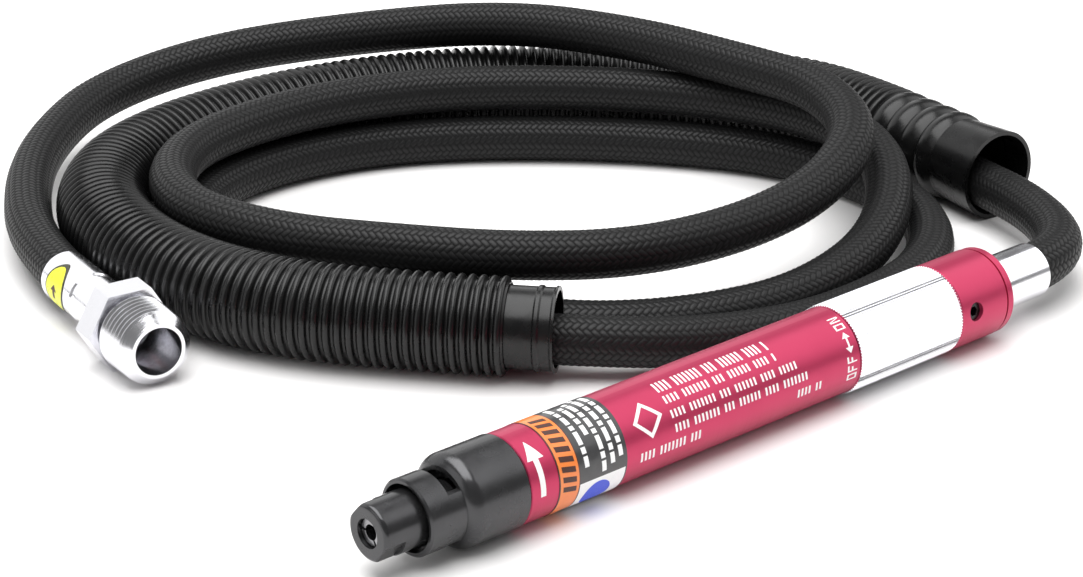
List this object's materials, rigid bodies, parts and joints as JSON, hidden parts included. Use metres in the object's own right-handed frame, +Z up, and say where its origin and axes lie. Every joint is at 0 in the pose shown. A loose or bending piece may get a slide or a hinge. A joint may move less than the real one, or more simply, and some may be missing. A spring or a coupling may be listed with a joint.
{
  "type": "die grinder",
  "caption": "Slim pencil-style air die grinder with collet, red housing, throttle ring, braided air hose and exhaust hose.",
  "frame": {"origin": "on the surface under the middle of the tool (nut face to hose ferrule), hoses and far fitting not counted", "axes": "+X along the tool from the collet to the hose, +Y towards the hose coils, +Z up; the tool lies on z = 0"},
  "size_m": [0.2401, 0.2398, 0.0344],
  "materials": {
    "black_oxide": "satin black oxide",
    "red_anodised": "satin anodised",
    "bright_steel": "bright plated",
    "steel": "machined",
    "bearing_steel": "ground",
    "blade_plastic": "filled resin",
    "rubber": "matt",
    "felt": "felt",
    "braid": "woven braid",
    "hose_plastic": "semi-matt",
    "label_film": "printed film",
    "tag_film": "printed film",
    "white_print": "printed ink",
    "dark_print": "printed ink",
    "blue_print": "printed ink"
  },
  "bodies": {
    "tool": {"nose_cap": "black_oxide", "motor_housing": "red_anodised", "wrap_label": "label_film", "front_dust_washer": "felt", "front_bearing_outer_race": "bearing_steel", "front_end_plate": "steel", "cylinder_liner": "steel", "liner_dowel": "steel", "rear_end_plate": "steel", "rear_bearing_outer_race": "bearing_steel", "spring_washer": "steel", "valve_body": "steel", "valve_o_rings": "rubber", "detent_ball": "bearing_steel", "detent_spring": "steel", "stop_pin": "steel", "rear_cap": "red_anodised", "cap_set_screw": "black_oxide", "muffler_ring": "felt", "hose_stem": "steel", "hose_ferrule": "bright_steel", "air_hose": "braid", "exhaust_overhose": "hose_plastic", "overhose_tool_cuff": "hose_plastic", "overhose_outlet_cuff": "hose_plastic", "inlet_ferrule": "bright_steel", "inlet_fitting": "bright_steel", "flow_tag": "tag_film"},
    "spindle": {"rotor": "steel", "rotor_blades": "blade_plastic", "rotor_clip": "steel", "collet_body": "steel", "front_bearing_inner_race": "bearing_steel", "rear_bearing_inner_race": "bearing_steel"},
    "front_ball_set": {"front_bearing_balls": "bearing_steel", "front_bearing_cage": "steel"},
    "rear_ball_set": {"rear_bearing_balls": "bearing_steel", "rear_bearing_cage": "steel"},
    "collet": {"collet": "steel"},
    "collet_nut": {"collet_nut": "black_oxide"},
    "throttle_ring": {"throttle_ring": "bright_steel"}
  },
  "joints": [
    {"name": "spindle_spin", "type": "hinge", "parent": "tool", "child": "spindle", "pos_m": [-0.06415, 0, 0.00985], "axis": [1, 0, 0], "continuous": true},
    {"name": "front_balls_roll", "type": "hinge", "parent": "tool", "child": "front_ball_set", "pos_m": [-0.06765, 0, 0.00985], "axis": [1, 0, 0], "continuous": true},
    {"name": "rear_balls_roll", "type": "hinge", "parent": "tool", "child": "rear_ball_set", "pos_m": [-0.02175, 0, 0.00985], "axis": [1, 0, 0], "continuous": true},
    {"name": "collet_release", "type": "slide", "parent": "spindle", "child": "collet", "axis": [-1, 0, 0], "range_m": [0, 0.00112]},
    {"name": "nut_turn", "type": "hinge", "parent": "collet", "child": "collet_nut", "pos_m": [-0.08815, 0, 0.00985], "axis": [1, 0, 0], "range_deg": [0, 540]},
    {"name": "throttle_turn", "type": "hinge", "parent": "tool", "child": "throttle_ring", "pos_m": [0.04485, 0, 0.00985], "axis": [1, 0, 0], "range_deg": [0, 45]}
  ],
  "couplings": [
    {"joint": "front_balls_roll", "follows": "spindle_spin", "ratio": 0.38571},
    {"joint": "rear_balls_roll", "follows": "spindle_spin", "ratio": 0.38889},
    {"joint": "collet_release", "follows": "nut_turn", "m_per_rad": 0.00011937}
  ]
}
